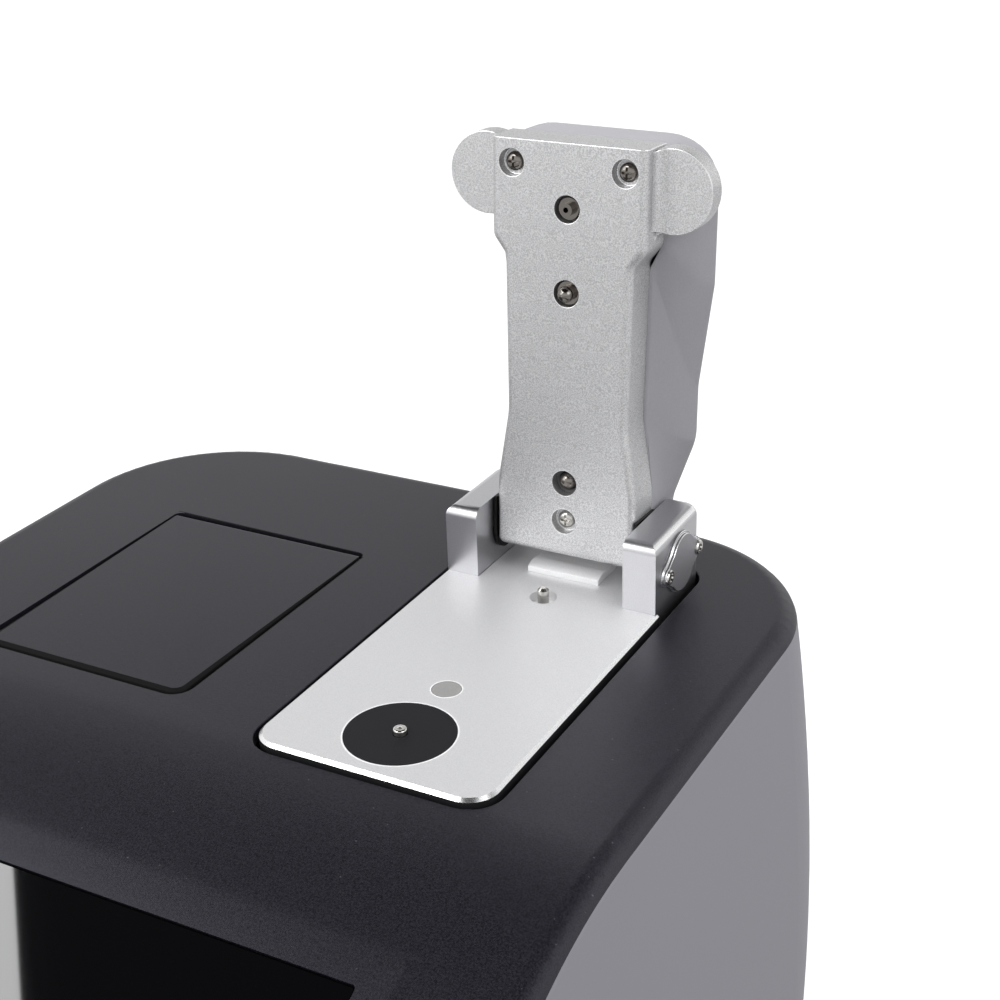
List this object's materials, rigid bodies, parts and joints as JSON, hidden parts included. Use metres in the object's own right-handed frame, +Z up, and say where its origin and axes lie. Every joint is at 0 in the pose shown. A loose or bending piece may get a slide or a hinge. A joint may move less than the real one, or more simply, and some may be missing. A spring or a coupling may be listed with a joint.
{
  "type": "micro-volume spectrophotometer",
  "caption": "Bench spectrophotometer for microlitre samples: sloped display, hinged measuring arm over a pedestal plate, and a lidded cuvette position.",
  "frame": {"origin": "on the table plane under the middle of the housing's footprint", "axes": "+X to the user's right, +Y to the back, +Z up"},
  "size_m": [0.208, 0.32, 0.2574],
  "materials": {
    "grey_shell": "fine satin",
    "black_cover": "soft matte",
    "display_glass": "polished",
    "inner_plastic": "moulded",
    "blasted_aluminium": "bead blasted",
    "arm_aluminium": "fine machined",
    "sheet_metal": "plain",
    "steel": "turned",
    "black_steel": "blackened",
    "magnet": "nickel plated",
    "rubber": "matte",
    "board": "solder mask",
    "module_metal": "plain",
    "disc_plastic": "fine matte",
    "arm_shell_grey": "fine satin"
  },
  "bodies": {
    "base": {"lower_housing": "grey_shell", "base_plate": "sheet_metal", "top_cover": "black_cover", "screen_glass": "display_glass", "display_module": "inner_plastic", "lid_hinge_pins": "steel", "cuvette_bay": "inner_plastic", "cuvette_holder": "black_steel", "cuvette_light_source": "module_metal", "cuvette_detector": "inner_plastic", "holder_post": "module_metal", "rubber_feet": "rubber", "pedestal_plate": "blasted_aluminium", "pedestal_disc": "disc_plastic", "lower_pedestal": "steel", "holding_magnet": "magnet", "stud_bush": "steel", "path_actuator": "module_metal", "bracket_left": "blasted_aluminium", "bracket_right": "blasted_aluminium", "hinge_flange_left": "steel", "hinge_flange_right": "steel", "flange_screws_left": "steel", "flange_screws_right": "steel", "stop_block": "arm_aluminium", "stop_pad": "rubber", "optics_frame": "module_metal", "main_board": "board", "board_standoffs": "steel", "spectrometer_module": "module_metal", "flash_lamp_module": "module_metal", "power_board": "board", "power_standoffs": "steel", "rear_panel": "sheet_metal", "power_inlet": "inner_plastic", "power_switch_frame": "inner_plastic", "usb_host_socket_1": "steel", "usb_host_socket_2": "steel", "usb_device_socket": "steel"},
    "arm": {"arm_plate": "arm_aluminium", "arm_cover": "arm_shell_grey", "arm_screws": "steel", "arm_heel_screw": "steel", "upper_pedestal": "steel", "magnet_ball": "steel", "path_anvil": "steel", "hinge_shaft_left": "steel", "hinge_shaft_right": "steel", "hinge_leaf_left": "black_steel", "hinge_leaf_right": "black_steel"},
    "cuvette_lid": {"cuvette_lid": "black_cover"},
    "path_stud": {"path_stud": "steel"},
    "power_rocker": {"power_rocker": "inner_plastic"}
  },
  "joints": [
    {"name": "arm_hinge", "type": "hinge", "parent": "base", "child": "arm", "pos_m": [0.0425, 0.1202, 0.16425], "axis": [1, 0, 0], "range_deg": [0, 93.1]},
    {"name": "cuvette_lid_hinge", "type": "hinge", "parent": "base", "child": "cuvette_lid", "pos_m": [-0.0358, 0.1056, 0.15405], "axis": [-1, 0, 0], "range_deg": [0, 100]},
    {"name": "path_stud_slide", "type": "slide", "parent": "base", "child": "path_stud", "axis": [0, 0, 1], "range_m": [-0.0009, 0]},
    {"name": "power_rocker_hinge", "type": "hinge", "parent": "base", "child": "power_rocker", "pos_m": [-0.022, 0.1512, 0.035], "axis": [1, 0, 0], "range_deg": [0, 18]}
  ]
}
